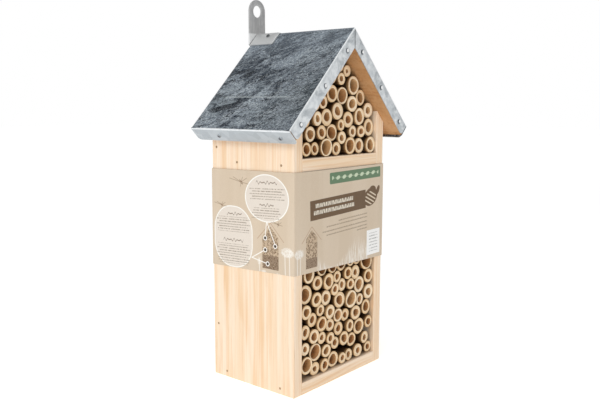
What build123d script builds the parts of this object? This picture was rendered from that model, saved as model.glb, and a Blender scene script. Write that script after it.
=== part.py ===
from build123d import *
import math
import os

# Insect hotel: a small pine house packed with hollow canes, under a folded zinc
# roof with a hanging bracket, and with a printed card band round its middle.
# Origin: middle of the house's underside. +Z up, -Y is the open front.

# ---- house ----
house_width = 120.0
house_depth = 89.0
board = 10.0
edge_ease = 0.5
shelf_top = 188.5

# ---- roof ----
ridge_top = 290.0
eave_overhang = 19.5
front_overhang = 12.0
back_overhang = 4.5
sheet = 0.6
gable_flange = 11.1
eave_flange = 13.3
flange_corner = 3.0
corner_gap = 0.8
seam_gap = 0.4

# ---- hanging bracket ----
strap_width = 20.0
strap_thickness = 1.2
strap_rise = 30.0
hanging_hole = 10.0
wing_length = 27.0
wing_corner = 2.0
wing_slit = 0.6

# ---- nails ----
shank_diameter = 1.4
head_diameter = 3.2
head_height = 0.9
head_dome = 0.6
point_length = 1.6
point_diameter = 0.4
nail_clearance = 0.3

# ---- pins, driven flush into the boards ----
pin_diameter = 1.2
pin_head = 1.8
pin_clearance = 0.15
sunk = 0.1

# ---- card band ----
band_bottom = 96.5
band_height = 81.0
card = 0.5
band_clearance = 0.3
glue_lap = 14.0

# ---- canes ----
cane_gap = 0.25
cane_setback = 1.2
cane_setback_step = 0.6
settle_turns = 600
settle_limit = 0.005
layout_width = 100.0  # the canes are placed for rooms of this width
lower_layout_height = 168.5  # the lower room, floor to ceiling
upper_layout_height = 101.5  # the upper room's floor to the roof's ridge

# ---- sizes that follow from the ones above ----
half_width = house_width / 2
inner_half = half_width - board
house_front = -house_depth / 2
house_back = house_depth / 2
room_back = house_back - board
shelf_bottom = shelf_top - board
slope = math.sqrt(0.5)  # the roof falls at 45 degrees
roof_half_width = half_width + eave_overhang
roof_front = house_front - front_overhang
roof_back = house_back + back_overhang
board_apex = ridge_top - sheet / slope
roof_inside = board_apex - board / slope
sheet_run = roof_half_width / slope
roof_run = sheet_run - 2 * sheet
eave_height = ridge_top - roof_half_width
strap_top = ridge_top + strap_rise


def prism(points, front, back):
    """Outline in the XZ plane, carried from y = front to y = back."""
    outline = Plane.XZ * make_face(Polyline(*points, close=True))
    return Pos(0, back, 0) * extrude(outline, amount=back - front)


def on_slope(side, down, inward, apex):
    """Point measured down a roof slope and square inward from it."""
    x = side * (down * slope - inward * slope)
    z = apex - down * slope - inward * slope
    return (x, z)


def eased(part):
    return fillet(part.edges(), edge_ease)


# ---- nails: local +Z points out of the surface the nail is driven into ----
def nail(at, outward, length, flush=False):
    radius = (pin_diameter if flush else shank_diameter) / 2
    head_radius = (pin_head if flush else head_diameter) / 2
    head = Cylinder(head_radius, head_height, align=(Align.CENTER, Align.CENTER, Align.MIN))
    if not flush:
        head = fillet(head.edges().group_by(Axis.Z)[-1], head_dome)
    straight = length - point_length
    shank = Cylinder(radius, straight, align=(Align.CENTER, Align.CENTER, Align.MAX))
    point = Cone(point_diameter / 2, radius, point_length, align=(Align.CENTER, Align.CENTER, Align.MAX))
    whole = head + shank + Pos(0, 0, -straight) * point
    drop = head_height + sunk if flush else 0
    return Plane(origin=at, z_dir=outward) * (Pos(0, 0, -drop) * whole)


def nail_hole(at, outward, length, flush=False):
    radius = pin_diameter / 2 + pin_clearance if flush else shank_diameter / 2 + nail_clearance
    drop = head_height + sunk if flush else 0
    depth = length + drop + nail_clearance
    hole = Cylinder(radius, depth, align=(Align.CENTER, Align.CENTER, Align.MAX))
    if flush:
        seat_radius = pin_head / 2 + pin_clearance
        hole = hole + Cylinder(seat_radius, drop, align=(Align.CENTER, Align.CENTER, Align.MAX))
    return Plane(origin=at, z_dir=outward) * hole


# each entry: where the nail meets the surface, outward direction, length, flush head
gable_nail_across = (10.4, roof_half_width - 41.5, roof_half_width - 12.9)
gable_nail_length = 14.0
gable_nail_depth = sheet + board / 2
eave_nail_front = roof_front + 13.2
eave_nail_back = roof_back - 27.5
eave_nail_depth = 7.8
eave_nail_length = 14.0
side_nail_length = 19.0
shelf_nail_y = (house_front + 13.0, house_back - 28.5)
shelf_nail_z = shelf_top - board / 2
base_nail_y = (house_front + 14.5, house_back - 14.5)
back_nail_z = (45.0, 120.0, shelf_top + 6.5)
ridge_nail_y = (roof_front + 18.5, roof_back - 41.0)
roof_nail_y = (house_front + 14.5, house_back - 19.5)
roof_nail_length = 15.0
hanger_nail_down = 4.0
hanger_nail_y = {-1: roof_back - 16.0, 1: roof_back - 24.0}
hanger_nail_length = 12.0


def square_to(side):
    """Direction square out of a roof slope."""
    return (side * slope, 0, slope)


gable_nails = []
eave_nails = []
hanger_nails = []
shelf_nails = []
base_nails = []
back_nails = []
roof_nails = []
for side in (-1, 1):
    for across in gable_nail_across:
        z = ridge_top - across - gable_nail_depth / slope
        gable_nails.append(((side * across, roof_front, z), (0, -1, 0), gable_nail_length, False))
        gable_nails.append(((side * across, roof_back, z), (0, 1, 0), gable_nail_length, False))
    x, z = on_slope(side, sheet_run, eave_nail_depth, ridge_top)
    for y in (eave_nail_front, eave_nail_back):
        eave_nails.append(((x, y, z), (side * slope, 0, -slope), eave_nail_length, False))
    x, z = on_slope(side, hanger_nail_down, -strap_thickness, ridge_top)
    hanger_nails.append(((x, hanger_nail_y[side], z), square_to(side), hanger_nail_length, False))
    for y in shelf_nail_y:
        place = (side * half_width, y, shelf_nail_z)
        shelf_nails.append((place, (side, 0, 0), side_nail_length, True))
    for y in base_nail_y:
        place = (side * half_width, y, board / 2)
        base_nails.append((place, (side, 0, 0), side_nail_length, True))
    for z in back_nail_z:
        place = (side * half_width, house_back - board / 2, z)
        back_nails.append((place, (side, 0, 0), side_nail_length, True))
    middle = half_width - board / 2
    top = roof_inside - middle
    for y in roof_nail_y:
        place = (side * (middle + board * slope), y, top + board * slope)
        roof_nails.append((place, square_to(side), roof_nail_length, True))
ridge_nails = []
x, z = on_slope(-1, board / 2, 0, board_apex)
for y in ridge_nail_y:
    ridge_nails.append(((x, y, z), square_to(-1), side_nail_length, True))


def drilled(part, *nail_groups):
    for group in nail_groups:
        for place in group:
            part = part - nail_hole(*place)
    return part


# ---- boards ----
def side_board(side):
    outer_top = roof_inside - half_width
    inner_top = roof_inside - inner_half
    outline = [
        (side * inner_half, 0),
        (side * half_width, 0),
        (side * half_width, outer_top),
        (side * inner_half, inner_top),
    ]
    return eased(prism(outline, house_front, house_back))


def cross_board(bottom, back):
    outline = [
        (-inner_half, bottom),
        (inner_half, bottom),
        (inner_half, bottom + board),
        (-inner_half, bottom + board),
    ]
    return eased(prism(outline, house_front, back))


def back_board():
    outline = [
        (-inner_half, board),
        (inner_half, board),
        (inner_half, roof_inside - inner_half),
        (0, roof_inside),
        (-inner_half, roof_inside - inner_half),
    ]
    return prism(outline, room_back, house_back)


def roof_board(side, start):
    """The left board runs to the ridge and the right one butts against it."""
    outline = [
        on_slope(side, start, 0, board_apex),
        on_slope(side, roof_run, 0, board_apex),
        on_slope(side, roof_run, board, board_apex),
        on_slope(side, start, board, board_apex),
    ]
    return prism(outline, roof_front + sheet, roof_back - sheet)


# ---- zinc roof sheet ----
def gable_plate(front):
    down = sheet_run - sheet - corner_gap
    outline = [
        (0, ridge_top),
        on_slope(1, down, 0, ridge_top),
        on_slope(1, down, gable_flange, ridge_top),
        (0, ridge_top - gable_flange / slope),
        on_slope(-1, down, gable_flange, ridge_top),
        on_slope(-1, down, 0, ridge_top),
    ]
    face = make_face(Polyline(*outline, close=True))
    face = fillet(face.vertices().group_by(Axis.Y)[0], flange_corner)
    plate = Pos(0, front + sheet, 0) * extrude(Plane.XZ * face, amount=sheet)
    seam_top = board_apex - sheet
    seam = Pos(0, front + sheet / 2, seam_top) * Box(
        seam_gap, 2 * sheet, 2 * gable_flange, align=(Align.CENTER, Align.CENTER, Align.MAX)
    )
    return plate - seam


def eave_plate(side):
    length = roof_back - roof_front - 2 * (sheet + corner_gap)
    plate = Box(length, eave_flange, sheet, align=(Align.CENTER, Align.MIN, Align.MAX))
    plate = fillet(plate.edges().filter_by(Axis.Z).group_by(Axis.Y)[-1], flange_corner)
    down = (-side * slope, 0, -slope)
    outward = Vector(side * slope, 0, -slope)
    along = Vector(*down).cross(outward)
    corner = (side * roof_half_width, (roof_front + roof_back) / 2, eave_height)
    return Plane(origin=corner, x_dir=along, z_dir=outward) * plate


def zinc_roof():
    outline = [
        (0, ridge_top),
        (roof_half_width, eave_height),
        on_slope(1, sheet_run, sheet, ridge_top),
        (0, board_apex),
        on_slope(-1, sheet_run, sheet, ridge_top),
        (-roof_half_width, eave_height),
    ]
    roof = prism(outline, roof_front, roof_back)
    roof = roof + eave_plate(-1) + eave_plate(1)
    roof = roof + gable_plate(roof_front) + gable_plate(roof_back - sheet)
    return drilled(roof, gable_nails, eave_nails, hanger_nails)


# ---- hanging bracket ----
def hanger():
    half = strap_width / 2
    hole_height = strap_top - half
    outline = [
        (-half, ridge_top - half),
        (0, ridge_top),
        (half, ridge_top - half),
        (half, hole_height),
        (-half, hole_height),
    ]
    leg = prism(outline, roof_back, roof_back + strap_thickness)
    turn = Rot(90, 0, 0)
    middle = roof_back + strap_thickness / 2
    round_top = Pos(0, middle, hole_height) * turn * Cylinder(half, strap_thickness)
    bracket = leg + round_top
    reach = half / slope
    for side in (-1, 1):
        wing = Box(
            wing_length + strap_thickness, reach, strap_thickness,
            align=(Align.MIN, Align.MIN, Align.MIN),
        )
        wing = fillet(wing.edges().filter_by(Axis.Z).group_by(Axis.X)[0], wing_corner)
        start = (0, roof_back - wing_length, ridge_top)
        down = Vector(side * slope, 0, -slope)
        up = Vector(side * slope, 0, slope)
        # the wing's own X runs back along the ridge and its own Y runs down the slope
        frame = Plane(origin=start, x_dir=(0, 1, 0), z_dir=up)
        if frame.y_dir.dot(down) < 0:
            wing = mirror(wing, about=Plane.XZ)
        bracket = bracket + frame * wing
    slit = Pos(0, roof_back, ridge_top) * Box(
        wing_slit, 2 * wing_length, strap_width, align=(Align.CENTER, Align.MAX, Align.CENTER)
    )
    hole = Pos(0, middle, hole_height) * turn * Cylinder(hanging_hole / 2, 3 * strap_thickness)
    return drilled(bracket - slit - hole, hanger_nails)


# ---- card band ----
def card_band():
    inner = Rectangle(house_width + 2 * band_clearance, house_depth + 2 * band_clearance)
    outer = Rectangle(
        house_width + 2 * (band_clearance + card), house_depth + 2 * (band_clearance + card)
    )
    outer = fillet(outer.vertices(), card)
    band = Pos(0, 0, band_bottom) * extrude(outer - inner, amount=band_height)
    back_face = house_back + band_clearance + card
    lap = Pos(0, back_face, band_bottom) * Box(
        glue_lap, card, band_height, align=(Align.CENTER, Align.MIN, Align.MIN)
    )
    return band + lap


# ---- canes: middle across, middle above the floor, outside and bore diameters ----
lower_canes = [
    [
        (-42.5, 12.0, 14.5, 10.0),
        (-30.5, 6.0, 11.5, 4.5),
        (-19.0, 6.0, 11.5, 6.0),
        (-6.5, 7.5, 13.5, 8.5),
        (5.5, 5.5, 10.0, 4.5),
        (16.0, 5.5, 10.5, 5.0),
        (28.0, 6.5, 11.5, 5.0),
        (44.5, 5.5, 10.0, 5.0),
    ],
    [
        (-29.5, 19.5, 15.0, 10.5),
        (-16.0, 17.5, 11.5, 6.0),
        (-3.0, 21.0, 10.5, 5.0),
        (8.5, 22.0, 12.5, 7.0),
        (20.5, 18.0, 12.5, 7.5),
        (39.0, 15.5, 11.0, 5.0),
    ],
    [
        (-43.0, 25.5, 10.5, 4.5),
        (-33.0, 34.0, 12.0, 6.5),
        (-21.5, 29.5, 10.5, 4.5),
        (-11.5, 27.5, 10.0, 5.0),
        (1.0, 32.5, 12.0, 5.5),
        (16.0, 31.5, 11.0, 5.5),
        (30.5, 27.5, 14.5, 9.0),
        (43.5, 29.0, 11.0, 6.0),
    ],
    [
        (-43.5, 39.5, 12.0, 5.5),
        (-33.5, 47.5, 12.0, 5.5),
        (-22.0, 41.5, 13.0, 7.5),
        (-10.0, 38.0, 11.0, 5.0),
        (-0.5, 44.5, 11.5, 7.5),
        (11.0, 42.0, 11.0, 5.0),
        (25.0, 41.0, 13.0, 6.5),
        (42.0, 42.5, 13.5, 8.0),
    ],
    [
        (-43.0, 56.0, 12.0, 6.5),
        (-23.5, 53.5, 10.0, 5.0),
        (-12.0, 49.5, 12.5, 6.0),
        (2.0, 57.0, 14.0, 7.5),
        (17.5, 55.0, 16.0, 10.5),
        (31.5, 51.5, 10.5, 5.5),
        (43.0, 56.5, 13.5, 6.5),
    ],
    [
        (-42.0, 70.0, 15.5, 9.5),
        (-29.0, 63.5, 12.5, 6.5),
        (-15.5, 62.5, 13.0, 6.5),
        (-4.5, 67.5, 10.5, 5.0),
        (6.5, 69.5, 11.0, 5.0),
        (17.5, 68.0, 10.0, 5.0),
        (31.0, 65.0, 14.5, 8.5),
        (43.5, 70.5, 12.5, 7.0),
    ],
    [
        (-27.5, 77.0, 12.0, 6.0),
        (-14.0, 76.0, 14.0, 7.5),
        (-1.0, 78.0, 10.5, 5.0),
        (12.0, 79.5, 11.0, 6.0),
        (24.0, 77.5, 12.5, 5.0),
    ],
    [
        (-39.0, 86.0, 14.5, 9.0),
        (-21.0, 87.5, 12.0, 8.0),
        (-8.5, 88.0, 12.0, 8.0),
        (4.5, 89.0, 13.0, 8.0),
        (16.0, 89.5, 10.0, 6.0),
        (26.5, 89.0, 10.0, 6.0),
        (39.5, 85.0, 16.5, 12.0),
    ],
    [
        (-44.0, 98.5, 10.5, 5.5),
        (-30.0, 98.0, 12.0, 6.5),
        (-15.0, 99.0, 12.0, 6.0),
        (-2.0, 100.0, 12.5, 7.0),
        (10.5, 100.5, 11.0, 5.0),
        (22.0, 99.5, 12.0, 6.5),
        (33.5, 98.5, 10.5, 5.0),
        (44.5, 99.0, 10.5, 5.5),
    ],
]

# behind the band the canes lie in level rows of one set of sizes, turned along row by row
band_row_outside = [12.0, 13.5, 10.5, 14.0, 11.0, 12.5, 10.0, 13.0]
band_row_bore = 0.55
band_row_first = 111.0
band_row_pitch = 11.8
band_rows = 5
band_row_turn = 3

upper_canes = [
    [
        (-43.5, 7.0, 11.0, 7.0),
        (-32.0, 7.0, 10.5, 5.5),
        (-18.5, 7.5, 14.5, 10.5),
        (-4.0, 6.0, 11.0, 5.5),
        (13.5, 7.5, 14.5, 9.5),
        (27.5, 7.0, 13.0, 7.0),
        (43.0, 7.0, 14.0, 8.5),
    ],
    [
        (-37.0, 18.5, 12.5, 7.0),
        (-24.0, 19.5, 11.5, 6.0),
        (-10.0, 19.0, 14.0, 9.5),
        (2.5, 14.5, 10.5, 5.0),
        (19.0, 19.0, 10.5, 5.0),
        (30.0, 19.0, 10.5, 5.0),
        (42.5, 22.0, 15.0, 8.0),
    ],
    [
        (-43.5, 29.0, 10.5, 5.0),
        (-30.0, 30.5, 11.5, 5.0),
        (-17.0, 31.0, 14.0, 7.0),
        (0.5, 25.0, 9.5, 4.5),
        (11.5, 29.0, 13.5, 6.5),
        (26.0, 31.5, 14.5, 8.5),
        (40.0, 36.5, 13.0, 6.0),
    ],
    [
        (-33.0, 42.0, 11.5, 6.0),
        (-21.0, 43.5, 11.0, 6.0),
        (-3.5, 36.0, 14.0, 6.5),
        (4.0, 48.5, 14.0, 10.0),
        (16.5, 42.0, 13.5, 7.5),
        (29.0, 47.0, 13.5, 8.0),
    ],
    [
        (-24.0, 54.0, 10.5, 5.5),
        (-10.0, 50.0, 14.0, 8.5),
        (-12.5, 63.5, 11.5, 6.0),
        (2.0, 62.0, 10.0, 4.5),
        (17.0, 57.0, 15.5, 10.5),
        (9.5, 68.5, 9.5, 3.0),
        (-2.5, 73.0, 11.5, 6.5),
    ],
]


def level_row(outsides, height):
    """One row laid side by side, with the spare width shared between the canes."""
    spare = (layout_width - sum(outsides)) / (len(outsides) + 1)
    row = []
    edge = -layout_width / 2 + spare
    for outside in outsides:
        row.append((edge + outside / 2, height, outside, outside * band_row_bore))
        edge = edge + outside + spare
    return row


def fitted(rows, height):
    """Spreads the placed canes over the room, no thicker than its tighter side allows."""
    wider = 2 * inner_half / layout_width
    size = min(wider, height)
    return [[(x * wider, z * height, out * size, bore * size) for x, z, out, bore in row] for row in rows]


def settle(rows, walls):
    """Eases canes apart, and off the walls, until every gap is at least cane_gap.

    Each wall is (across, up, offset): inside is where across * x + up * z >= offset.
    """
    canes = [list(cane) for row in rows for cane in row]
    for turn in range(settle_turns):
        moved = 0
        for first in range(len(canes)):
            for second in range(first + 1, len(canes)):
                one = canes[first]
                two = canes[second]
                dx = two[0] - one[0]
                dz = two[1] - one[1]
                apart = math.hypot(dx, dz)
                short = (one[2] + two[2]) / 2 + cane_gap - apart
                if short > 0:
                    share = (short + settle_limit) / 2 / apart
                    one[0] -= dx * share
                    one[1] -= dz * share
                    two[0] += dx * share
                    two[1] += dz * share
                    moved = max(moved, short)
        for cane in canes:
            for across, up, offset in walls:
                short = offset + cane[2] / 2 + cane_gap - across * cane[0] - up * cane[1]
                if short > 0:
                    cane[0] += across * short
                    cane[1] += up * short
                    moved = max(moved, short)
        if moved < settle_limit:
            break
    settled = iter(canes)
    return [[next(settled) for cane in row] for row in rows]


def cane(across, up, outside, bore, floor, setback):
    front = house_front + setback
    length = room_back - front
    centre = Pos(across, front + length / 2, floor + up) * Rot(90, 0, 0)
    return centre * (Cylinder(outside / 2, length) - Cylinder(bore / 2, length))


def cane_rows(rows, walls, floor):
    groups = []
    for number, row in enumerate(settle(rows, walls)):
        group = []
        for place, (across, up, outside, bore) in enumerate(row):
            setback = cane_setback + cane_setback_step * ((2 * place + 3 * number) % 4)
            group.append(cane(across, up, outside, bore, floor, setback))
        groups.append(Compound(children=group))
    return groups


for number in range(band_rows):
    turned = (number * band_row_turn) % len(band_row_outside)
    outsides = band_row_outside[turned:] + band_row_outside[:turned]
    lower_canes.append(level_row(outsides, band_row_first + number * band_row_pitch))

lower_room = shelf_bottom - board
lower_canes = fitted(lower_canes, lower_room / lower_layout_height)
lower_walls = [(1, 0, -inner_half), (-1, 0, -inner_half), (0, 1, 0), (0, -1, -lower_room)]
upper_canes = fitted(upper_canes, (ridge_top - shelf_top) / upper_layout_height)
upper_room = (roof_inside - shelf_top) * slope
upper_walls = [
    (1, 0, -inner_half),
    (-1, 0, -inner_half),
    (0, 1, 0),
    (slope, -slope, -upper_room),
    (-slope, -slope, -upper_room),
]

# ---- every piece of the house ----
side_groups = (shelf_nails, base_nails, back_nails, roof_nails)
roof_groups = (gable_nails, eave_nails, hanger_nails, roof_nails, ridge_nails)
pieces = {
    "side_board_left": drilled(side_board(-1), *side_groups),
    "side_board_right": drilled(side_board(1), *side_groups),
    "base_board": drilled(cross_board(0, house_back), base_nails),
    "shelf_board": drilled(cross_board(shelf_bottom, room_back), shelf_nails),
    "back_board": drilled(back_board(), back_nails),
    "roof_board_left": drilled(roof_board(-1, 0), *roof_groups),
    "roof_board_right": drilled(roof_board(1, board), *roof_groups),
    "zinc_roof": zinc_roof(),
    "hanger": hanger(),
    "card_band": card_band(),
}
nail_groups = {
    "gable_nails": gable_nails,
    "eave_nails": eave_nails,
    "hanger_nails": hanger_nails,
    "shelf_nails": shelf_nails,
    "base_nails": base_nails,
    "back_nails": back_nails,
    "roof_nails": roof_nails,
    "ridge_nails": ridge_nails,
}
for name, group in nail_groups.items():
    pieces[name] = Compound(children=[nail(*place) for place in group])
for number, group in enumerate(cane_rows(lower_canes, lower_walls, board)):
    pieces[f"lower_canes_{number + 1:02d}"] = group
for number, group in enumerate(cane_rows(upper_canes, upper_walls, shelf_top)):
    pieces[f"upper_canes_{number + 1:02d}"] = group

os.makedirs("parts", exist_ok=True)
for name, piece in pieces.items():
    export_step(piece, f"parts/{name}.step")
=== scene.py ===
import math
import random

import bmesh
import bpy
from mathutils import Matrix, Vector, noise


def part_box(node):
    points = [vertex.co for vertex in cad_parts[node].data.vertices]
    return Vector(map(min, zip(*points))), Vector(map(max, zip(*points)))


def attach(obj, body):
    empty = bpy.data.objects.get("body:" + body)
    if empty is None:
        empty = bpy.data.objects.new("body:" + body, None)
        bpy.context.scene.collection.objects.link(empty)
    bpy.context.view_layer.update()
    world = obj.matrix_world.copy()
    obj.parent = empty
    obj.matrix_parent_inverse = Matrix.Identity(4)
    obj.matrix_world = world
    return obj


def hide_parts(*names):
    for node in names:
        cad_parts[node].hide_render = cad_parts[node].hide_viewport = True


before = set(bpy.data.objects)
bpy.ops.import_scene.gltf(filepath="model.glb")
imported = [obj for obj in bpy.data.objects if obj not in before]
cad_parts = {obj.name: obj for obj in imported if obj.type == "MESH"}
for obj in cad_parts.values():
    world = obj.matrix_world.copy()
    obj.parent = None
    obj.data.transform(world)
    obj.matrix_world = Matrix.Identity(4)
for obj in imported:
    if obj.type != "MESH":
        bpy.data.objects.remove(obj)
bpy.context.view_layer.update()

MM = 0.001
FALL = math.sqrt(0.5)  # both roof slopes fall at 45 degrees
SLOPE_ANGLE = math.radians(45)
SHARP = math.radians(35)  # a steeper crease than this is shaded as an edge
SAME_PLACE = 1e-6  # points nearer than this, in metres, are one point


# ---- shader maths ----
def paint(red, green, blue):
    """A colour given as 0 to 255, in the linear light that a shader wants."""
    return tuple(pow(part / 255, 2.2) for part in (red, green, blue)) + (1.0,)


class Value:
    """A socket of a finish. Arithmetic on it adds Math nodes to the finish."""

    def __init__(self, finish, socket):
        self.finish = finish
        self.socket = socket

    def maths(self, operation, *others):
        sockets = dict(enumerate((self,) + others))
        return self.finish.node("ShaderNodeMath", {"operation": operation}, sockets)

    def __add__(self, other):
        return self.maths("ADD", other)

    def __sub__(self, other):
        return self.maths("SUBTRACT", other)

    def __mul__(self, other):
        return self.maths("MULTIPLY", other)

    def __truediv__(self, other):
        return self.maths("DIVIDE", other)

    def __rsub__(self, other):
        return self.finish.node("ShaderNodeMath", {"operation": "SUBTRACT"}, {0: other, 1: self})

    def __abs__(self):
        return self.maths("ABSOLUTE")

    def __neg__(self):
        return self.maths("MULTIPLY", -1.0)

    __radd__ = __add__
    __rmul__ = __mul__

    def root(self):
        return self.maths("SQRT")

    def sine(self):
        return self.maths("SINE")

    def fraction(self):
        return self.maths("FRACT")

    def lesser(self, other):
        return self.maths("MINIMUM", other)

    def greater(self, other):
        return self.maths("MAXIMUM", other)

    def rise(self, low, high):
        """0 below low, 1 above high, and a smooth rise between."""
        settings = {"interpolation_type": "SMOOTHSTEP"}
        return self.finish.node("ShaderNodeMapRange", settings, {0: self, 1: low, 2: high})

    def fall(self, low, high):
        return 1.0 - self.rise(low, high)

    def between(self, low, high, soft):
        """1 from low to high, with ends that fade over twice soft."""
        return self.rise(low - soft, low + soft) * self.fall(high - soft, high + soft)


class Finish:
    """One material, with the nodes that make its colour, roughness and relief."""

    def __init__(self, name):
        self.material = bpy.data.materials.new(name)
        self.material.use_nodes = True
        self.tree = self.material.node_tree
        self.shader = self.tree.nodes["Principled BSDF"]

    def put(self, socket, value):
        if isinstance(value, Value):
            self.tree.links.new(value.socket, socket)
        else:
            socket.default_value = value

    def node(self, kind, settings=None, sockets=None, out=0):
        """Adds any node: its settings first, then the values or links of its sockets."""
        made = self.tree.nodes.new(kind)
        for name, value in (settings or {}).items():
            setattr(made, name, value)
        for name, value in (sockets or {}).items():
            self.put(made.inputs[name], value)
        return Value(self, made.outputs[out])

    def place(self, turn=(0, 0, 0), scale=(1, 1, 1), shift=(0, 0, 0)):
        """Object coordinates in millimetres, turned, then scaled, then shifted."""
        point = self.node("ShaderNodeTexCoord", out="Object")
        point = self.node("ShaderNodeMapping", {}, {0: point, 2: turn, 3: (1 / MM,) * 3})
        return self.node("ShaderNodeMapping", {}, {0: point, 1: shift, 3: scale})

    def apart(self, vector):
        """The three numbers of a vector."""
        first = self.node("ShaderNodeSeparateXYZ", {}, {0: vector})
        outputs = first.socket.node.outputs
        return tuple(Value(self, outputs[index]) for index in range(3))

    def cloud(self, vector, scale, detail=3.0, rough=0.5, twist=0.0):
        sockets = {"Vector": vector, "Scale": scale, "Detail": detail}
        sockets.update({"Roughness": rough, "Distortion": twist})
        return self.node("ShaderNodeTexNoise", {}, sockets)

    def cells(self, scale, out):
        """Cells about 1 / scale millimetres wide."""
        sockets = {"Vector": self.place(scale=(scale,) * 3), "Scale": 1.0}
        return self.node("ShaderNodeTexVoronoi", {}, sockets, out)

    def mix(self, factor, first, second):
        settings = {"data_type": "RGBA", "clamp_factor": True}
        return self.node("ShaderNodeMix", settings, {0: factor, 6: first, 7: second}, out=2)

    def carried(self, name):
        """A number that the piece's mesh carries at each of its points."""
        return self.node("ShaderNodeAttribute", {"attribute_name": name}, out="Fac")

    def relief(self, height, depth):
        """Bump from a height that runs 0 to 1, depth in millimetres."""
        return self.node("ShaderNodeBump", {}, {"Height": height, "Distance": depth * MM})

    def done(self, **sockets):
        for name, value in sockets.items():
            self.put(self.shader.inputs[name.replace("_", " ")], value)
        return self.material


# ---- pine ----
CREAM_GAINS = (1.05, 1.11, 1.22, 1.0)  # from the pale wood to its lightest bands


def pine(name, turn, pith, pale, late, spacing):
    """Sawn softwood. After the turn the grain runs along Z. Pith is the place of the heart, and
    spacing the distance between rings, in millimetres."""
    finish = Finish(name)
    point = finish.place(turn)
    across, through, along = finish.apart(point)
    drift = finish.cloud(finish.place(turn, (0.02, 0.02, 0.004)), 1.0, 2.0)
    sway = finish.cloud(finish.place(turn, (0.05, 0.05, 0.010)), 1.0, 2.0)
    left = across - pith[0] + (drift - 0.5) * 26.0
    right = through - pith[1] + (sway - 0.5) * 12.0
    ring = ((left * left + right * right).root() / spacing + along * 0.002).fraction()
    late_wood = ring.rise(0.30, 0.86) * ring.fall(0.90, 1.0)
    patch = finish.cloud(finish.place(turn, (0.045, 0.045, 0.007)), 1.0, 2.0).rise(0.35, 0.68)
    fibre = finish.cloud(finish.place(turn, (0.9, 0.9, 0.018)), 1.0, 4.0, 0.6)
    hair = finish.cloud(finish.place(turn, (3.2, 3.2, 0.05)), 1.0, 2.0, 0.6)
    duct = finish.cloud(finish.place(turn, (1.7, 1.7, 0.06)), 1.0, 1.0).rise(0.70, 0.80)
    band = finish.cloud(finish.place(turn, (0.10, 0.10, 0.0035), (4, 7, 2)), 1.0, 3.0, 0.6)
    thread = finish.cloud(finish.place(turn, (0.42, 0.42, 0.006), (9, 3, 1)), 1.0, 3.0, 0.6)
    colour = finish.mix(late_wood * (patch * 0.62 + 0.16), pale, late)
    colour = finish.mix(fibre.rise(0.35, 0.75) * 0.30, colour, late)
    cream = tuple(min(1.0, part * gain) for part, gain in zip(pale, CREAM_GAINS))
    colour = finish.mix(band.rise(0.46, 0.60) * 0.75, colour, cream)
    colour = finish.mix(thread.rise(0.54, 0.64) * 0.45, colour, late)
    colour = finish.mix(thread.fall(0.36, 0.45) * 0.45, colour, cream)
    colour = finish.mix(hair.fall(0.30, 0.48) * 0.14, colour, paint(176, 132, 88))
    colour = finish.mix(duct * 0.35, colour, paint(170, 116, 66))
    rough = 0.52 + fibre * 0.20 - late_wood * 0.08
    height = fibre * 0.5 + hair * 0.3 + late_wood * 0.35
    return finish.done(
        Base_Color=colour,
        Roughness=rough,
        Normal=finish.relief(height, 0.09),
        Specular_IOR_Level=0.35,
    )


PALE_PINE = paint(247, 222, 192)
LATE_PINE = paint(237, 196, 150)
# For the roof boards: a darker, warmer copy of the pine, painted shade for their undersides under the
# roof
SHADED_PINE = (paint(192, 146, 100), paint(172, 120, 76))
UPRIGHT = (0, 0, 0)
CROSSWISE = (0, math.radians(90), 0)
DOWN_LEFT = (0, SLOPE_ANGLE, 0)
DOWN_RIGHT = (0, -SLOPE_ANGLE, 0)


def dress_boards():
    """Each board gets grain that runs its own way, cut from its own part of a log."""
    cuts = {
        "side_board_left": (UPRIGHT, (-118.0, 6.0), PALE_PINE, LATE_PINE),
        "side_board_right": (UPRIGHT, (104.0, -30.0), PALE_PINE, LATE_PINE),
        "base_board": (CROSSWISE, (-60.0, -95.0), PALE_PINE, LATE_PINE),
        "shelf_board": (CROSSWISE, (-120.0, -110.0), PALE_PINE, LATE_PINE),
        "back_board": (UPRIGHT, (12.0, 96.0), PALE_PINE, LATE_PINE),
        "roof_board_left": (DOWN_LEFT, (40.0, -60.0), *SHADED_PINE),
        "roof_board_right": (DOWN_RIGHT, (-40.0, -50.0), *SHADED_PINE),
    }
    for node, (turn, pith, pale, late) in cuts.items():
        spacing = 3.6 + 0.35 * (len(node) % 4)
        cover(node, pine("pine_" + node, turn, pith, pale, late, spacing))


def cover(node, material):
    """Gives a CAD node its finish and leaves its mesh as it is."""
    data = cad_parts[node].data
    data.materials.clear()
    data.materials.append(material)


# ---- metals ----
STROKE_TURN = math.radians(25)
OTHER_SLOPE = 40.0  # puts the right slope in another part of the clouds


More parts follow.
